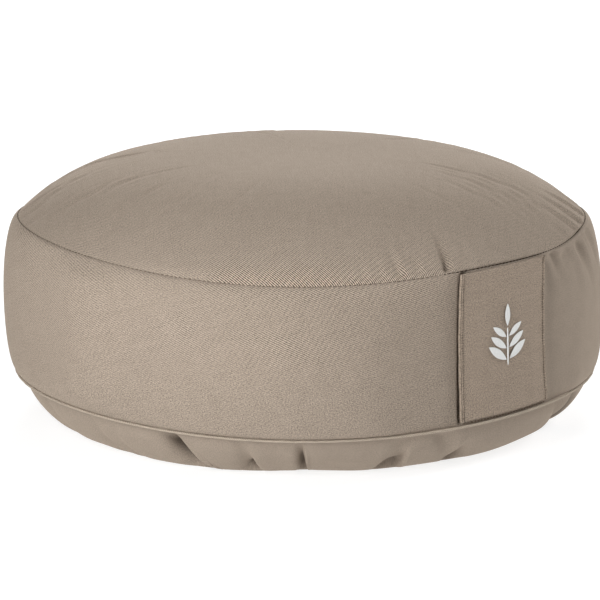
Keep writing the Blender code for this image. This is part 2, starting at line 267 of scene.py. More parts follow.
def roll_cloth(name, around, stations):
    """A closed skin of so many columns, with a row at each station."""
    last = len(stations) - 1
    bpy.ops.object.select_all(action="DESELECT")
    bpy.ops.mesh.primitive_grid_add(x_subdivisions=around, y_subdivisions=last, size=2)
    cloth = bpy.context.object
    cloth.name = cloth.data.name = name
    grid = read_points(cloth.data)
    turn = grid[:, 0] * math.pi
    row = np.rint((1 - grid[:, 1]) / 2 * last).astype(int)
    write_number(cloth.data, "column", np.rint((grid[:, 0] + 1) / 2 * around))
    write_number(cloth.data, "row", row)
    write_number(cloth.data, "station", stations[row])
    lay_cloth_map(cloth.data, stations)
    write_points(cloth.data, cover_points(stations[row], column_azimuth(turn, stations[row])))

    bpy.ops.object.mode_set(mode="EDIT")
    bpy.ops.mesh.select_all(action="SELECT")
    bpy.ops.mesh.remove_doubles(threshold=1e-6)
    bpy.ops.mesh.normals_make_consistent(inside=False)
    bpy.ops.object.mode_set(mode="OBJECT")
    bpy.ops.object.shade_smooth()
    return cloth


def column_azimuth(turn, station):
    """Where a column runs: straight down, but along the folds of the base."""
    azimuth = np.degrees(turn - FRONT_CROWDING * np.sin(turn))
    down = ease((station - 2) / 0.3) * np.clip(station - 2, 0, 1) * (station < 4)
    return azimuth + down * sum(drift * np.exp(-(wrapped(azimuth - middle) / FOLLOWED_SPREAD) ** 2)
                                for middle, drift in FOLLOWED_FOLDS)


def lay_cloth_map(mesh, stations):
    """Turn the grid's own UV map into "cloth", metres along each panel as it was cut."""
    layer = mesh.uv_layers.active
    layer.name = "cloth"
    flat = np.zeros(len(mesh.loops) * 2)
    layer.data.foreach_get("uv", flat)
    row = np.rint((1 - flat[1::2]) * (len(stations) - 1)).astype(int)
    angle = np.radians(column_azimuth((flat[0::2] * 2 - 1) * math.pi, stations[row]))
    section = cover_points(stations, np.full(len(stations), -90.0))
    down = np.concatenate([[0], np.cumsum(np.linalg.norm(np.diff(section, axis=0), axis=1))])[row]
    up = down.max() - down
    middle = np.repeat(stations[row].reshape(-1, 4).mean(axis=1), 4)[:, None]
    crown = np.stack([down * np.sin(angle), -down * np.cos(angle)], axis=1)
    crown = turned_map(crown * CROWN_DRAWING, CROWN_GRAIN)
    all_round = np.radians(np.arange(-185, 185.5, 0.5))
    at_front = ease((BAND_DRAWING_END - np.degrees(abs(all_round))) / BAND_DRAWING_FADE)
    drawing = 1 - BAND_DRAWING * (1 - np.cos(all_round)) * at_front
    length = np.cumsum(drawing) * (all_round[1] - all_round[0])
    band = np.stack([np.interp(angle, all_round, length), -BAND_SKEW * np.cos(angle)], axis=1)
    band = band * UPPER_SEAM_RADIUS
    band[:, 1] += up
    band = turned_map(band, BAND_GRAIN)
    base = turned_map(np.stack([up * np.sin(angle), up * np.cos(angle)], axis=1), BASE_GRAIN)
    layer.data.foreach_set("uv", np.where(middle < 1, crown, np.where(middle < 2, band, base)).ravel())


def turned_map(pairs, angle):
    cos, sin = math.cos(angle), math.sin(angle)
    return pairs @ np.array([[cos, sin], [-sin, cos]])


def blow_up(form, rows):
    """Press the form's cloth out with air; returns how each grid point moved, rows by columns."""
    station = read_number(form.data, "station")
    before = read_points(form.data)
    sewn = (abs(station - 1) < 1e-4) | (abs(station - 2) < 1e-4) | (station > 2.999)
    pins = form.vertex_groups.new(name="sewn")
    pins.add(np.flatnonzero(sewn).tolist(), 1.0, "REPLACE")
    slack = form.vertex_groups.new(name="slack")
    slack.add(np.flatnonzero(station > 2).tolist(), 1.0, "REPLACE")
    slack.add(np.flatnonzero(station < 2).tolist(), 0.25, "REPLACE")

    cloth = form.modifiers.new("air", "CLOTH").settings
    cloth.quality = 6
    cloth.mass = 0.15
    cloth.tension_stiffness = cloth.compression_stiffness = 15
    cloth.shear_stiffness = 5
    cloth.bending_stiffness = 0.3
    cloth.use_pressure = True
    cloth.uniform_pressure_force = AIR_PRESSURE
    cloth.effector_weights.gravity = 0
    cloth.vertex_group_mass = pins.name
    cloth.vertex_group_shrink = slack.name
    cloth.shrink_max = -0.05
    for number in range(1, AIR_FRAMES + 1):
        bpy.context.scene.frame_set(number)
    bpy.ops.object.modifier_apply(modifier="air")

    move = read_points(form.data) - before
    length = np.linalg.norm(move, axis=1, keepdims=True)
    move *= AIR_SWELL * np.tanh(length / AIR_SWELL) / np.maximum(length, 1e-9)
    row = read_number(form.data, "row").astype(int)
    column = read_number(form.data, "column").astype(int) % FORM_AROUND
    table = np.zeros((rows, FORM_AROUND, 3))
    table[row, column] = move
    table[0] = move[row == 0]
    return table


def creases(table, rows, around):
    """The narrow swellings of a table, spread over finer rows and columns."""
    waves = np.fft.rfft(table, axis=1)
    waves[:, :BROAD_WAVES] = 0
    table = np.fft.irfft(waves, around, axis=1) * (around / table.shape[1])
    first = np.clip(np.floor(rows).astype(int), 0, len(table) - 2)
    a, b, c, d = (table[np.clip(first + step, 0, len(table) - 1)] for step in (-1, 0, 1, 2))
    t = (rows - first)[:, None, None]
    return b + t / 2 * (c - a + t * (2 * a - 5 * b + 4 * c - d + t * (3 * (b - c) + d - a)))


form_stations = row_stations(*FORM_ROWS)
cover_stations = row_stations(*COVER_ROWS)
cover = roll_cloth("twill_cover", AROUND, cover_stations)
form = roll_cloth("air_form", FORM_AROUND, form_stations)
table = blow_up(form, len(form_stations))
bpy.data.objects.remove(form)
rows = np.interp(cover_stations, form_stations, np.arange(len(form_stations)))
moved = creases(table, rows, AROUND)
row = read_number(cover.data, "row").astype(int)
column = read_number(cover.data, "column").astype(int) % AROUND
points = read_points(cover.data)
azimuth = np.degrees(np.arctan2(points[:, 0], -points[:, 1]))
free = 1 - beside_strip(azimuth) * (row > COVER_ROWS[0])
write_points(cover.data, points + moved[row, column] * free[:, None])

# ==== Cover: sewing ===============================================================================
# The seams draw the panels in, hard in some places and hardly at all in others. The cloth puckers
# beside them, and the gathers of the base panel are folded over each other.
SeamPull = namedtuple("SeamPull", "azimuth spread depth")
UPPER_SEAM_PULLS = [
    SeamPull(azimuth=-66, spread=26, depth=0.25),
    SeamPull(azimuth=41, spread=16, depth=1.0),
    SeamPull(azimuth=66, spread=14, depth=0.6),
    SeamPull(azimuth=84, spread=10, depth=0.3),
    SeamPull(azimuth=140, spread=36, depth=0.6),
    SeamPull(azimuth=215, spread=36, depth=0.6),
]
SEAM_GROOVE, SEAM_GROOVE_WIDTH = 0.0014, 0.00062
CROWN_ROLL, CROWN_ROLL_REACH = 0.0016, 0.0065     # the top panel swells out beside the front seam
CROWN_ROLL_AZIMUTH, CROWN_ROLL_GAIN, CROWN_ROLL_CUT = 16, 2.6, 1.15     # fading off to both sides
CROWN_CREASES = [
    Fold(azimuth=-86, drift=4, width=1.4, depth=0.0013, reach=0.20, lip=0.0005),
    Fold(azimuth=-80, drift=7, width=1.4, depth=0.0010, reach=0.18, lip=0.0004),
    Fold(azimuth=-73, drift=6, width=1.4, depth=0.0007, reach=0.14, lip=0.0003),
    Fold(azimuth=8.6, drift=-0.5, width=0.9, depth=0.0008, reach=0.09, lip=0.0004),
    Fold(azimuth=11.8, drift=-0.5, width=0.9, depth=0.0009, reach=0.10, lip=0.0005),
    Fold(azimuth=15.0, drift=-0.5, width=0.9, depth=0.0008, reach=0.10, lip=0.0005),
    Fold(azimuth=18.8, drift=-0.8, width=1.1, depth=0.0018, reach=0.13, skew=0.8, lip=0.0010),
    Fold(azimuth=22.8, drift=-0.5, width=1.0, depth=0.0013, reach=0.10, skew=0.8, lip=0.0008),
    Fold(azimuth=28.4, drift=2.6, width=1.1, depth=0.0040, reach=0.16, skew=0.65, lip=0.0014),
    Fold(azimuth=34, drift=2, width=1.5, depth=0.0007, reach=0.18, lip=0.0003),
    Fold(azimuth=55, drift=-2, width=1.6, depth=0.0008, reach=0.16, lip=0.0003),
    Fold(azimuth=66, drift=-4, width=1.4, depth=0.0007, reach=0.14, lip=0.0003),
    Fold(azimuth=73, drift=-5, width=1.2, depth=0.0018, reach=0.16, lip=0.0009),
    Fold(azimuth=79, drift=-6, width=1.2, depth=0.0020, reach=0.19, lip=0.0010),
    Fold(azimuth=86, drift=-8, width=1.2, depth=0.0018, reach=0.20, lip=0.0009),
    Fold(azimuth=94, drift=-8, width=1.3, depth=0.0010, reach=0.20, lip=0.0005),
    Fold(azimuth=128, drift=4, width=1.8, depth=0.0014, reach=0.24, lip=0.0005),
    Fold(azimuth=166, drift=-3, width=1.8, depth=0.0012, reach=0.20, lip=0.0005),
    Fold(azimuth=215, drift=-4, width=1.8, depth=0.0014, reach=0.24, lip=0.0005),
    Fold(azimuth=243, drift=4, width=1.8, depth=0.0012, reach=0.20, lip=0.0005),
]
BAND_SWELLS = [     # a soft upright ridge
    Fold(azimuth=-44, drift=0, width=8.0, depth=-0.0040, reach=3.0),
]
STRIP_SLOT = Fold(azimuth=32.0, drift=-2.7, width=0.65, depth=0.0048, reach=3.0, skew=0.7)
BAND_CREASES = [
    Fold(azimuth=24, drift=3, width=1.4, depth=0.0004, reach=0.14),
    Fold(azimuth=54.6, drift=1.2, width=1.0, depth=0.0012, reach=0.22, lip=0.0006),
    Fold(azimuth=57.8, drift=4, width=1.4, depth=0.0027, reach=0.34, lip=0.0011),
    Fold(azimuth=62.8, drift=5, width=1.4, depth=0.0017, reach=0.45, lip=0.0009),
    Fold(azimuth=68.5, drift=6, width=1.4, depth=0.0020, reach=0.45, lip=0.0010),
    Fold(azimuth=76, drift=6, width=1.5, depth=0.0014, reach=0.40, lip=0.0007),
]
BASE_CREASES = [     # the gathers' folds, which lie over each other
    Fold(azimuth=-47, drift=5, width=1.2, depth=0.0008, skew=1.5, lip=0.0004),
    Fold(azimuth=-42, drift=4, width=1.2, depth=0.0008, skew=1.5, lip=0.0004),
    Fold(azimuth=-27.0, drift=8.8, width=1.2, depth=0.0230, skew=2.6, lip=0.0024),
    Fold(azimuth=-0.4, drift=1.2, width=0.55, depth=0.0080, skew=1.9, lip=0.0014),
    Fold(azimuth=67.5, drift=2, width=1.6, depth=0.0160, skew=0.6, lip=0.0008),
    Fold(azimuth=112, drift=8, width=1.6, depth=0.0028, skew=2.0, lip=0.0012),
    Fold(azimuth=163, drift=5, width=1.6, depth=0.0030, skew=2.0, lip=0.0012),
    Fold(azimuth=211, drift=7, width=1.6, depth=0.0024, skew=2.0, lip=0.0010),
]
BASE_NICKS = [       # folds that open only near the floor
    Fold(azimuth=-11.4, drift=2, width=1.1, depth=0.0080, skew=2.6, lip=0.0006),
    Fold(azimuth=19.9, drift=0.8, width=1.2, depth=0.0085, skew=2.6, lip=0.0012),
    Fold(azimuth=34.2, drift=-0.5, width=1.3, depth=0.0070, skew=0.5, lip=0.0008),
]
# Painted shade: the cloth's colour is darkened inside its tucks, fully at this depth, and in the pocket at
# the right end, where shade falls.
TUCK_SHADE, TUCK_SHADE_DEPTH = 0.62, 0.013
POCKET_SHADE = Fold(azimuth=69, drift=3, width=2.6, depth=0.0130, skew=0.8)


def outward_normals(mesh):
    normals = np.zeros(len(mesh.vertices) * 3)
    mesh.vertex_normals.foreach_get("vector", normals)
    return normals.reshape(-1, 3)


def seam_pull(azimuth):
    """How hard the stitches of the upper seam draw the cloth in, about 0 to 1."""
    pulls = [row.depth * np.exp(-(wrapped(azimuth - row.azimuth) / row.spread) ** 4)
             for row in UPPER_SEAM_PULLS]
    return np.maximum(0.12, np.max(pulls, axis=0))


def sew_in(piece):
    points = read_points(piece.data)
    station = read_number(piece.data, "station")
    azimuth = np.degrees(np.arctan2(points[:, 0], -points[:, 1]))
    upper_off = np.linalg.norm(points - cover_points(np.ones(len(points)), azimuth), axis=1)
    sunk = SEAM_GROOVE * seam_pull(azimuth) * np.exp(-(upper_off / SEAM_GROOVE_WIDTH) ** 2)
    sunk += fold_depth(CROWN_CREASES, azimuth, 1 - station, start=60, end=1) * (station < 1)
    swell = upper_off / CROWN_ROLL_REACH
    front = ease(CROWN_ROLL_GAIN * np.cos(np.radians(azimuth - CROWN_ROLL_AZIMUTH)) - CROWN_ROLL_CUT)
    sunk -= CROWN_ROLL * front * swell * np.exp(1 - swell) * (station < 1)
    on_band = (station > 1) & (station < 2)
    down = np.clip(station - 1, 0, 1)
    sunk += fold_depth(BAND_CREASES, azimuth, down, start=25, end=1) * on_band
    ends = ease((1 - down) * 7) * on_band
    sunk += fold_depth(BAND_SWELLS, azimuth, down, start=7, end=9) * ends
    sunk += fold_depth([STRIP_SLOT], azimuth, down, start=30, end=9) * ease((1 - down) * 30) * on_band
    on_base = (station > 2) & (station < 3)
    under = np.clip(station - 2, 0, 1)
    nicked = fold_depth(BASE_NICKS, azimuth, under, start=1.0, end=6) * ease(under * 1.2)
    tucked = (fold_depth(BASE_CREASES, azimuth, under, start=1.4, end=7) + nicked) * on_base
    points -= outward_normals(piece.data) * (sunk + tucked)[:, None]
    # Painted shade: from here the tucks' depth, with the pocket at the right end of the base added, only
    # darkens the cloth's colour.
    tucked = tucked + fold_depth([POCKET_SHADE], azimuth, under, start=1.6, end=3) * on_base
    write_number(piece.data, "tuck", np.clip(tucked / TUCK_SHADE_DEPTH, 0, 1))
    points[:, 2] = np.where(station >= 3, 0, np.maximum(points[:, 2], 0))
    write_points(piece.data, points)


CROWN_CLARITY, BAND_CLARITY, BAND_CLARITY_LOSS, BASE_CLARITY = 0.5, 0.55, 0.40, 0.06
SEAM_CLARITY, SEAM_CLARITY_REACH = (2.6, 1.0), 0.0125      # above and below the front of the upper seam
SEAM_CLARITY_AZIMUTH, SEAM_CLARITY_SPREAD = 5, 24
# Taut places on the band: station and spread, azimuth and spread, and how much clearer.
CLEAR_PATCHES = ((1.37, 0.14, -2, 13, 1.0), (1.4, 0.25, -30, 16, 0.4))
# Rubbed places: from which azimuth, over how many degrees, and how much is lost.
LOW_BAND_WEAR, SIDE_WEAR, SIDE_GRAIN_WEAR = (22, 12, 0.8), (46, 6, 0.85), (48, 10, 0.75)
BASE_GRAIN_WEAR = 0.5


def worn_from(azimuth, start, over, loss):
    return loss * ease((azimuth - start) / over)


def wear_cloth(piece):
    """Show the wales best where the cloth is pulled smooth, beside the front of the upper seam. They
    and the grain are faint where it is rubbed, right of the strip, and gathered, in the base."""
    points = read_points(piece.data)
    station = read_number(piece.data, "station")
    azimuth = np.degrees(np.arctan2(points[:, 0], -points[:, 1]))
    off = np.abs(station - 1) * np.where(station < 1, UPPER_SEAM_RADIUS, BAND_LENGTH)
    front = np.exp(-(wrapped(azimuth - SEAM_CLARITY_AZIMUTH) / SEAM_CLARITY_SPREAD) ** 4)
    low_band = BAND_CLARITY - BAND_CLARITY_LOSS * ease((station - 1.4) / 0.5)
    clarity = np.where(station < 1, CROWN_CLARITY, low_band)
    seam = np.where(station < 1, *SEAM_CLARITY) * np.exp(-(off / SEAM_CLARITY_REACH) ** 2) * front
    clarity = clarity + seam
    for height, tall, turn, wide, gain in CLEAR_PATCHES:
        clarity += (gain * np.exp(-((station - height) / tall) ** 2)
                    * np.exp(-(wrapped(azimuth - turn) / wide) ** 2))
    clarity *= 1 - worn_from(azimuth, *LOW_BAND_WEAR) * ease((station - 1.3) / 0.25)
    clarity *= 1 - worn_from(azimuth, *SIDE_WEAR) * (station > 1)
    write_number(piece.data, "wale_clarity", np.where(station > 2, BASE_CLARITY, clarity))
    rubbed = worn_from(azimuth, *SIDE_GRAIN_WEAR) * (station > 1) * (station < 2)
    write_number(piece.data, "grain", 1 - rubbed - BASE_GRAIN_WEAR * (station > 2))


sew_in(cover)
wear_cloth(cover)
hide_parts("cushion")
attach(cover, "root")

# ==== Cover: twill ================================================================================
# A matt cotton twill: slanting wales made of short floats, uneven from slubs in the yarn, under a
# faint bloom of lint.
COVER_GREIGE = (0.298, 0.246, 0.198)
WALE_PITCH, FLOAT_LENGTH = 0.00109, 0.0027
WALE_CONTRAST = 0.36          # of the lit wale and the gap beside it, up and down from the colour


class Wire:
    """An output of a material's nodes: arithmetic on it adds Math nodes."""

    def __init__(self, tree, socket=None):
        self.tree, self.socket = tree, socket

    def node(self, kind, settings=None, inputs=None, output=0):
        """Add a node: its settings first, then a value or a wire for each input."""
        new = self.tree.nodes.new(kind)
        for name, value in (settings or {}).items():
            setattr(new, name, value)
        for name, value in (inputs or {}).items():
            if isinstance(value, Wire):
                self.tree.links.new(value.socket, new.inputs[name])
            else:
                new.inputs[name].default_value = value
        return Wire(self.tree, new.outputs[output])

    def math(self, operation, first, second=0.0):
        return self.node("ShaderNodeMath", {"operation": operation}, {0: first, 1: second})

    def __add__(self, other): return self.math("ADD", self, other)
    def __radd__(self, other): return self.math("ADD", other, self)
    def __sub__(self, other): return self.math("SUBTRACT", self, other)
    def __rsub__(self, other): return self.math("SUBTRACT", other, self)
    def __mul__(self, other): return self.math("MULTIPLY", self, other)
    def __rmul__(self, other): return self.math("MULTIPLY", other, self)
    def cos(self): return self.math("COSINE", self)


def twill_material(name, greige, wale_angle, contrast=WALE_CONTRAST):
    """Cotton twill on the map "cloth", whose units are metres; its wales lie across wale_angle."""
    material = bpy.data.materials.new(name)
    material.use_nodes = True
    tree = material.node_tree
    shader = tree.nodes["Principled BSDF"]
    sheet = Wire(tree)
    place = sheet.node("ShaderNodeUVMap", {"uv_map": "cloth"})
    u = sheet.node("ShaderNodeSeparateXYZ", None, {0: place})
    v = Wire(tree, u.socket.node.outputs[1])

    def noise(lumps, detail=2.0, stretch=(1, 1, 1)):
        """Noise around 0, with so many lumps to the metre."""
        laid = sheet.node("ShaderNodeMapping", None, {"Vector": place, "Scale": stretch})
        lumpy = {"Vector": laid, "Scale": lumps, "Detail": detail}
        return sheet.node("ShaderNodeTexNoise", None, lumpy) - 0.5

    across, along = math.cos(wale_angle), math.sin(wale_angle)
    wale = (u * across + v * along) * (1 / WALE_PITCH) + noise(60) * 0.6 + noise(230) * 0.4
    step = (v * across - u * along) * (1 / FLOAT_LENGTH) + noise(300) * 0.5
    ridge = (wale * math.tau).cos()
    floats = (step * math.tau).cos()
    clarity = sheet.node("ShaderNodeAttribute", {"attribute_name": "wale_clarity"}, output=2)
    worn = (noise(38, 4) * 2.0 + 0.9) * clarity
    slub = noise(420, 2, (1, 0.1, 1)) + noise(420, 2, (0.1, 1, 1))
    rubbed = sheet.node("ShaderNodeAttribute", {"attribute_name": "grain"}, output=2)
    fibre = (noise(1600, 2) * 2.0 + noise(1000, 1) * 0.4 + slub * 0.14) * rubbed
    mottle = noise(14, 3) * 0.10 + noise(150, 2) * 0.15
    shade = 0.975 + clarity * 0.04 + (ridge * worn + floats * clarity * 0.15) * contrast + fibre + mottle
    # Painted shade: the colour is darkened in the deep tucks and the pocket, where shade falls.
    tuck = sheet.node("ShaderNodeAttribute", {"attribute_name": "tuck"}, output=2)
    shade = shade * (1 - tuck * tuck * TUCK_SHADE)
    colour = sheet.node("ShaderNodeVectorMath", {"operation": "SCALE"}, {0: greige, "Scale": shade})
    height = (ridge * 0.6 + floats * 0.2) * clarity + fibre * 0.8
    bump = sheet.node("ShaderNodeBump", None, {"Height": height, "Strength": 0.35, "Distance": 0.00015})
    tree.links.new(colour.socket, shader.inputs["Base Color"])
    tree.links.new(bump.socket, shader.inputs["Normal"])
    shader.inputs["Roughness"].default_value = 0.95
    shader.inputs["Specular IOR Level"].default_value = 0.06
    shader.inputs["Sheen Weight"].default_value = 0.16
    shader.inputs["Sheen Roughness"].default_value = 0.5
    shader.inputs["Sheen Tint"].default_value = (0.95, 0.78, 0.62, 1)
    return material


def dress(piece, material):
    piece.data.materials.clear()
    piece.data.materials.append(material)


dress(cover, twill_material("greige twill", COVER_GREIGE, wale_angle=math.radians(45)))

# ==== Handle strip ================================================================================
# A band of the same twill, stretched over the side and sewn into both seams. Its long edges are
# hemmed, the left one with two rows of stitches, and it stands a little off the cloth behind it.
STRIP_THICKNESS, STRIP_GAP, STRIP_END_GAP = 0.0016, 0.0010, 0.0004
STRIP_LEAN = 0.9              # degrees towards -azimuth, from its top to its foot
STRIP_ENDS = (0.012, 0.975)   # share of the way down the band
STRIP_GREIGE = (0.298, 0.240, 0.189)
LEFT_HEM = (0.0009, 0.0022)   # its rows of stitches, in from the strip's left edge
RIGHT_HEM = 0.0016            # the row in from its right edge
HEM_RISE, HEM_WIDTH, HEM_FALL = (0.0007, 0.0008), (0.0021, 0.0012), (0.0007, 0.0010)   # left and right
STITCH_DENTS, DENT_WIDTH = (0.0005, 0.0008, 0.0006), 0.00032      # under each row, from the left
EDGE_DROP, EDGE_WIDTH = 0.0009, 0.0006                            # the rounding of both edges
STRIP_ROWS, FACE_COLUMNS, HEM_STEP = 84, 40, 0.00018              # the grid is finer in the hems
LEFT_FINE, RIGHT_FINE = 0.0054, 0.0036


def strip_points(across, down, lift=0.0):
    """Points on the strip's inner face, or lifted off it; across runs -1 to 1, down 0 to 1."""
    share = STRIP_ENDS[0] + (STRIP_ENDS[1] - STRIP_ENDS[0]) * down
    azimuth = STRIP_AZIMUTH - STRIP_LEAN * (1 - (1 - down) ** 2)
    azimuth = azimuth + across * math.degrees(STRIP_WIDTH / 2 / UPPER_SEAM_RADIUS)
    loose = np.sin(np.pi * np.clip(down, 0, 1)) ** 0.5 * ease((1 - across) / 0.5)
    gap = STRIP_END_GAP + (STRIP_GAP - STRIP_END_GAP) * loose
    angle = np.radians(azimuth)
    outward = np.stack([np.sin(angle), -np.cos(angle), 0 * angle], axis=-1)
    return cover_points(1 + share, azimuth) + outward * np.asarray(gap + lift)[..., None]


def hem_relief(inset):
    """How far the strip's outer face stands out at a distance in from its left edge."""
    back = STRIP_WIDTH - inset
    relief = sum(rise * ease(1 - (across - width) / fall)
                 for across, rise, width, fall in zip((inset, back), HEM_RISE, HEM_WIDTH, HEM_FALL))
    for row, depth in zip((*LEFT_HEM, STRIP_WIDTH - RIGHT_HEM), STITCH_DENTS):
        relief = relief - depth * np.exp(-((inset - row) / DENT_WIDTH) ** 2)
    return relief - EDGE_DROP * ease(1 - np.minimum(inset, back) / EDGE_WIDTH)


inset = np.concatenate([np.arange(0, LEFT_FINE, HEM_STEP),
                        np.linspace(LEFT_FINE, STRIP_WIDTH - RIGHT_FINE, FACE_COLUMNS)[:-1],
                        STRIP_WIDTH - np.arange(RIGHT_FINE, -1e-6, -HEM_STEP)])
bpy.ops.object.select_all(action="DESELECT")
bpy.ops.mesh.primitive_grid_add(x_subdivisions=len(inset) - 1, y_subdivisions=STRIP_ROWS, size=2)
strip = bpy.context.object
strip.name = strip.data.name = "handle_band"
grid = read_points(strip.data)
reach = inset[np.rint((grid[:, 0] + 1) / 2 * (len(inset) - 1)).astype(int)]
down = (1 - grid[:, 1]) / 2
wave = 0.00025 * np.sin(down * 41 + reach * 60) * np.sin(down * 17 + 1)     # it isn't quite flat
points = strip_points(reach / STRIP_WIDTH * 2 - 1, down, STRIP_THICKNESS + hem_relief(reach) + wave)
write_points(strip.data, points)
layer = strip.data.uv_layers.active
layer.name = "cloth"
flat = np.zeros(len(strip.data.loops) * 2)
layer.data.foreach_get("uv", flat)
column = np.rint(flat[0::2] * (len(inset) - 1)).astype(int)
layer.data.foreach_set("uv", np.stack([inset[column], flat[1::2] * BAND_LENGTH], axis=1).ravel())
solid = strip.modifiers.new("thickness", "SOLIDIFY")
solid.thickness = STRIP_THICKNESS - 0.0003     # thinner than its room, which the waves need
solid.offset = -1
bpy.ops.object.modifier_apply(modifier="thickness")
bpy.ops.object.shade_smooth()
write_number(strip.data, "wale_clarity", np.full(len(strip.data.vertices), 0.55))
write_number(strip.data, "grain", np.full(len(strip.data.vertices), 1.15))
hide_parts("handle_strip")
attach(strip, "root")
dress(strip, twill_material("strip twill", STRIP_GREIGE, wale_angle=math.radians(131), contrast=0.16))

# ==== Welt ========================================================================================
# A narrow folded edge of the same cloth, caught in the lower seam all round, with a painted highlight: its
# colour is lighter for the light on its ridge. It stands out a little below the band like a lip.
WELT_OUT, WELT_UP = 0.0010, 0.0007     # half its width and height
WELT_OFF, WELT_DROP = 0.0017, 0.0007   # its middle, out from the seam and down
WELT_GIRTH = 0.0075
# Painted highlight: the welt's colour is lighter than the cloth it is folded from, for the light that
# catches its ridge.
WELT_LIT_GREIGE = (0.368, 0.310, 0.250)

bpy.ops.object.select_all(action="DESELECT")
bpy.ops.mesh.primitive_torus_add(major_segments=540, minor_segments=12, major_radius=1, minor_radius=0.5)
welt = bpy.context.object
welt.name = welt.data.name = "folded_welt"
points = read_points(welt.data)
azimuth = np.degrees(np.arctan2(points[:, 0], -points[:, 1]))
out = (np.linalg.norm(points[:, :2], axis=1) - 1) * 2
up = points[:, 2] * 2
uneven = 0.00012 * np.sin(np.radians(azimuth) * 61) + 0.0001 * np.sin(np.radians(azimuth) * 143 + 1)
radius = LOWER_SEAM_RADIUS + WELT_OFF + out * WELT_OUT + uneven
height = LOWER_SEAM_HEIGHT + lower_seam_rise(azimuth) - WELT_DROP + up * WELT_UP + uneven / 2
write_points(welt.data, round_points(radius, azimuth, height))
layer = welt.data.uv_layers.active
layer.name = "cloth"
flat = np.zeros(len(welt.data.loops) * 2)
layer.data.foreach_get("uv", flat)
layer.data.foreach_set("uv", (flat.reshape(-1, 2) * (LOWER_SEAM_RADIUS * math.tau, WELT_GIRTH)).ravel())
bpy.ops.object.shade_smooth()
write_number(welt.data, "wale_clarity", np.ones(len(welt.data.vertices)))
write_number(welt.data, "grain", np.full(len(welt.data.vertices), 0.5))
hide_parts("welt")
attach(welt, "root")
dress(welt, twill_material("welt twill", WELT_LIT_GREIGE, wale_angle=math.radians(30), contrast=0.25))

# ==== Sprig =======================================================================================
# A plain leaf sprig in white satin stitch on the strip's outer face. Each leaf, and the stem, is a
# low cushion of thread laid side by side.
SPRIG_HEIGHT, SPRIG_MIDDLE, SPRIG_THICKNESS = 0.033, 0.47, 0.0007
STEM_WIDTH, LEAF_LENGTH, LEAF_WIDTH, LEAF_TILT, LEAF_PAIRS = 0.0011, 0.0155, 0.0048, 56.0, 3
PIECE_GAP = 0.0003


def thread_material(name, colour, thread, rough=0.5):
    """Thread laid side by side along Y of the map "cloth", so many to the metre."""
    material = bpy.data.materials.new(name)
    material.use_nodes = True
    tree = material.node_tree
    shader = tree.nodes["Principled BSDF"]
    sheet = Wire(tree)
    place = sheet.node("ShaderNodeUVMap", {"uv_map": "cloth"})
    u = sheet.node("ShaderNodeSeparateXYZ", None, {0: place})
    strands = (u * (math.tau * thread)).cos()
    fuzz = sheet.node("ShaderNodeTexNoise", None, {"Vector": place, "Scale": 900.0, "Detail": 2.0}) - 0.5
    shade = 0.96 + strands * 0.05 + fuzz * 0.25
    tint = sheet.node("ShaderNodeVectorMath", {"operation": "SCALE"}, {0: colour, "Scale": shade})
    relief = {"Height": strands + fuzz, "Strength": 0.4, "Distance": 0.0001}
    bump = sheet.node("ShaderNodeBump", None, relief)
    tree.links.new(tint.socket, shader.inputs["Base Color"])
    tree.links.new(bump.socket, shader.inputs["Normal"])
    shader.inputs["Roughness"].default_value = rough
    shader.inputs["Specular IOR Level"].default_value = 0.7 * (1 - rough)
    return material


def strip_frame(across_offset, down):
    """A place on the strip: X up it, Y across it, Z off it."""
    across = across_offset / (STRIP_WIDTH / 2)
    lift = STRIP_THICKNESS + PIECE_GAP + SPRIG_THICKNESS / 2
    here, above, below, left, right = (
        Vector(strip_points(np.float64(across + a), np.float64(down + d), lift))
        for a, d in ((0, 0), (0, -0.05), (0, 0.05), (-0.05, 0), (0.05, 0)))
    up, side = (above - below).normalized(), (right - left).normalized()
    off = side.cross(up).normalized()
    place = Matrix((up, off.cross(up), off)).transposed().to_4x4()
    place.translation = here
    return place


def satin_leaf(name, length, width, pointed, place, node):
    """A low lens of thread, pointed at both ends or blunt, set at a place on the strip."""
    bpy.ops.object.select_all(action="DESELECT")
    bpy.ops.mesh.primitive_uv_sphere_add(segments=28, ring_count=16, radius=1, rotation=(0, math.pi / 2, 0))
    leaf = bpy.context.object
    leaf.name = leaf.data.name = name
    bpy.ops.object.transform_apply(rotation=True)
    x, y, z = read_points(leaf.data).T
    girth = np.sqrt(y ** 2 + z ** 2)
    girth = girth if pointed else 1 / np.maximum(girth, 1e-6) ** 0.6
    points = np.stack([x * length, y * girth * width, z * girth ** 0.5 * SPRIG_THICKNESS], axis=1) / 2
    write_points(leaf.data, points)
    layer = leaf.data.uv_layers.active
    layer.name = "cloth"
    corner = np.zeros(len(leaf.data.loops), int)
    leaf.data.loops.foreach_get("vertex_index", corner)
    slant = points[corner, 0] - 0.7 * abs(points[corner, 1])
    layer.data.foreach_set("uv", np.stack([slant, points[corner, 1]], axis=1).ravel())
    leaf.data.transform(place)
    bpy.ops.object.shade_smooth()
    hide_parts(node)
    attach(leaf, "root")
    dress(leaf, satin)
    return leaf


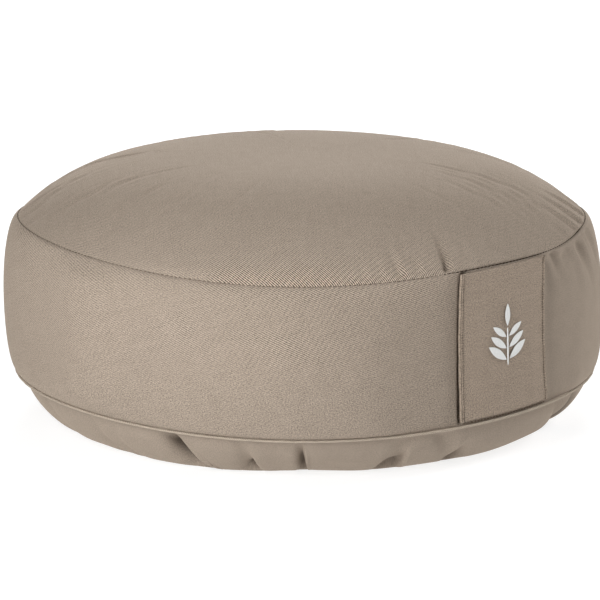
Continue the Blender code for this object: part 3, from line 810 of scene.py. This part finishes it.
satin = thread_material("white satin thread", (0.80, 0.805, 0.79), thread=2600)
strip_height = (UPPER_SEAM_HEIGHT - LOWER_SEAM_HEIGHT) * (STRIP_ENDS[1] - STRIP_ENDS[0])
stem_length = SPRIG_HEIGHT - LEAF_LENGTH * 0.8
stem_middle = (stem_length - SPRIG_HEIGHT) / 2
sprig = [satin_leaf("sprig_stem", stem_length, STEM_WIDTH, False,
                    strip_frame(0, SPRIG_MIDDLE - stem_middle / strip_height), "motif_stem")]
leaves = [(side, -SPRIG_HEIGHT / 2 + stem_length * (0.16 + 0.30 * pair), 1 - 0.12 * pair)
          for pair in range(LEAF_PAIRS) for side in (-1, 1)]
leaves.append((0, stem_middle + stem_length / 2 + 2 * PIECE_GAP, 0.8))
for number, (side, foot, size) in enumerate(leaves, start=1):
    length, lean = LEAF_LENGTH * size, math.radians(side * LEAF_TILT)
    reach = length / 2 + (STEM_WIDTH if side else 0)
    up = foot + math.cos(lean) * length / 2
    place = strip_frame(math.sin(lean) * reach, SPRIG_MIDDLE - up / strip_height)
    place = place @ Matrix.Rotation(-lean, 4, "Z")
    sprig.append(satin_leaf(f"sprig_leaf_{number}", length, LEAF_WIDTH * size, True, place,
                            f"motif_leaf_{number}"))

# ==== Stitches ====================================================================================
# Thread darker than the cloth: one row sinks into the upper seam all round, drawn tight over the strip's
# head. One lies in each groove of the strip's hems, and one holds its foot. The dark brown rows paint the
# shade of the grooves they lie in, and the near-black row at the strip's head paints the shadow above the
# strip.
SEAM_STITCH_PITCH, HEM_STITCH_PITCH, FOOT_STITCH_PITCH = 0.0027, 0.0015, 0.0021
HEM_ROW_LENGTH = 0.082
FOOT_ROW_START, FOOT_ROW_SPAN, FOOT_ROW_DOWN = -0.80, 1.74, 1.012    # in half widths, and share down
THREAD_RADIUS, TIGHT_THREAD_RADIUS, FOOT_THREAD_RADIUS = 0.00024, 0.00038, 0.00034
TIGHT_PULL, TIGHT_SINK = 0.5, 0.0006    # the stitches bunch and sink where the seam pulls this hard


def sew_row(name, ends, lift, thick=THREAD_RADIUS):
    """One stitch from each pair of ends: a short bead of thread, lifted off the cloth."""
    bpy.ops.object.select_all(action="DESELECT")
    bpy.ops.mesh.primitive_uv_sphere_add(segments=6, ring_count=5, radius=1, rotation=(0, math.pi / 2, 0))
    first = bpy.context.object
    first.name = first.data.name = name
    bpy.ops.object.transform_apply(rotation=True)
    first.data.uv_layers.active.name = "cloth"
    stitches = [first]
    for _ in ends[1:]:
        stitch = first.copy()
        stitch.data = first.data.copy()
        bpy.context.collection.objects.link(stitch)
        stitches.append(stitch)
    for stitch, (start, stop, off) in zip(stitches, ends):
        start, stop, off = Vector(start), Vector(stop), Vector(off)
        along = stop - start
        side = off.cross(along).normalized()
        up = along.cross(side).normalized()
        shape = Matrix((along / 2, side * thick, up * thick)).transposed().to_4x4()
        shape.translation = (start + stop) / 2 + up * lift
        stitch.data.transform(shape)
    for stitch in stitches:
        stitch.select_set(True)
    bpy.context.view_layer.objects.active = first
    bpy.ops.object.join()
    bpy.ops.object.shade_smooth()
    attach(first, "root")
    return first


def outward(azimuth):
    return Vector((math.sin(math.radians(azimuth)), -math.cos(math.radians(azimuth)), 0))


count = round(math.tau * UPPER_SEAM_RADIUS / SEAM_STITCH_PITCH)
seam_row, tight_row = [], []
for number in range(count):
    pull = float(seam_pull(np.float64(360 * number / count)))
    tight = pull > TIGHT_PULL
    near, far = (360 * (number + part) / count for part in ((0.0, 1.0) if tight else (0.14, 0.86)))
    sink = TIGHT_SINK if tight else SEAM_GROOVE * pull * 0.9 - THREAD_RADIUS
    row = tight_row if tight else seam_row
    row.append([Vector(cover_points(np.float64(1), np.float64(turn))) - outward(turn) * sink
                for turn in (near, far)] + [outward(near)])
seam_stitches = sew_row("upper_seam_stitches", seam_row, 0)
# Painted shade: the seam thread is dark brown for the shade in the seam's groove.
dress(seam_stitches, thread_material("seam thread", (0.120, 0.092, 0.068), thread=3000, rough=0.95))
tight_stitches = sew_row("strip_head_stitches", tight_row, 0, thick=TIGHT_THREAD_RADIUS)
# Painted shadow: the strip's head thread is near black for the shadow in the groove above the strip.
dress(tight_stitches, thread_material("strip head thread", (0.034, 0.022, 0.014), thread=3000, rough=0.95))


def hem_row(inset, zigzag):
    """Ends of the stitches of a row that runs down the strip."""
    count = round(HEM_ROW_LENGTH / HEM_STITCH_PITCH)
    sides = [np.float64(side / STRIP_WIDTH * 2 - 1) for side in (inset - zigzag, inset + zigzag)]
    lift = STRIP_THICKNESS + hem_relief(inset)
    return [[strip_points(side, np.float64((number + part) / count), lift)
             for side, part in zip(sides, (0.2, 0.8))] + [outward(STRIP_AZIMUTH)]
            for number in range(count)]


chain_stitches = sew_row("strip_chain_stitches", hem_row(LEFT_HEM[0], 0.0002), 0.0001)
dress(chain_stitches, thread_material("chain thread", (0.20, 0.162, 0.127), thread=3000, rough=0.8))
edge_rows = hem_row(LEFT_HEM[1], 0.0001) + hem_row(STRIP_WIDTH - RIGHT_HEM, 0.0003)
hem_stitches = sew_row("strip_hem_stitches", edge_rows, 0.0001)
# Painted shade: the hem thread is dark brown for the shade in the hems' grooves.
dress(hem_stitches, thread_material("hem thread", (0.12, 0.092, 0.068), thread=3000, rough=0.95))

count = round(STRIP_WIDTH * 0.86 / FOOT_STITCH_PITCH)
foot_row = []
for number in range(count):
    sides = [FOOT_ROW_START + FOOT_ROW_SPAN * (number + part) / count for part in (0.15, 0.85)]
    foot_row.append([strip_points(np.float64(side), np.float64(FOOT_ROW_DOWN), STRIP_THICKNESS * 0.7)
                     for side in sides] + [outward(STRIP_AZIMUTH)])
foot_stitches = sew_row("strip_foot_stitches", foot_row, 0.0001,
                        thick=FOOT_THREAD_RADIUS)
# Painted shade: the foot thread is dark brown for the shade at the strip's foot, above the welt.
dress(foot_stitches, thread_material("foot thread", (0.12, 0.086, 0.060), thread=3000, rough=0.95))

# ==== Floor and light =============================================================================
# A plain white floor, a soft key light close at the front left, and soft lights all round that fill
# the sides and rim the crown. The air is white at the horizon only, so that it lights the sides.
bpy.ops.object.select_all(action="DESELECT")
bpy.ops.mesh.primitive_plane_add(size=30, location=(0, 0, 0))
floor = bpy.context.object
floor.name = "studio_floor"
white = bpy.data.materials.new("white floor")
white.use_nodes = True
shader = white.node_tree.nodes["Principled BSDF"]
shader.inputs["Base Color"].default_value = (0.3, 0.3, 0.3, 1)
shader.inputs["Roughness"].default_value = 1.0
shader.inputs["Emission Color"].default_value = (1, 1, 1, 1)
shader.inputs["Emission Strength"].default_value = 0.8
floor.data.materials.append(white)

world = bpy.data.worlds.new("studio")
bpy.context.scene.world = world
world.use_nodes = True
air = Wire(world.node_tree)
sky = air.node("ShaderNodeTexCoord")
height = air.node("ShaderNodeSeparateXYZ", None, {0: sky}, output=2)
haze = air.node("ShaderNodeMapRange", None, {"Value": height, "From Min": 0.05, "From Max": 0.10,
                                             "To Min": 1.0, "To Max": 0.0})
world.node_tree.links.new(haze.socket, world.node_tree.nodes["Background"].inputs["Strength"])
world.node_tree.nodes["Background"].inputs["Color"].default_value = (1, 1, 1, 1)


def add_softbox(name, azimuth, elevation, distance, size, power):
    """A square light that faces the cushion from an azimuth and elevation."""
    across = distance * math.cos(math.radians(elevation))
    place = Vector((across * math.sin(math.radians(azimuth)), -across * math.cos(math.radians(azimuth)),
                    distance * math.sin(math.radians(elevation))))
    bpy.ops.object.light_add(type="AREA", location=place)
    light = bpy.context.object
    light.name = name
    light.rotation_euler = (-place).to_track_quat("-Z", "Y").to_euler()
    light.data.size = size
    light.data.energy = power


add_softbox("key_softbox", azimuth=-28, elevation=27, distance=0.75, size=0.4, power=3.1)
add_softbox("left_softbox", azimuth=-28, elevation=28, distance=2.2, size=0.8, power=9)
add_softbox("right_softbox", azimuth=103, elevation=38, distance=2.2, size=0.8, power=25.5)
add_softbox("back_softbox", azimuth=178, elevation=22, distance=2.2, size=0.8, power=39)
add_softbox("overhead_softbox", azimuth=0, elevation=80, distance=2.2, size=1.4, power=5)
bpy.context.scene.view_settings.view_transform = "Standard"
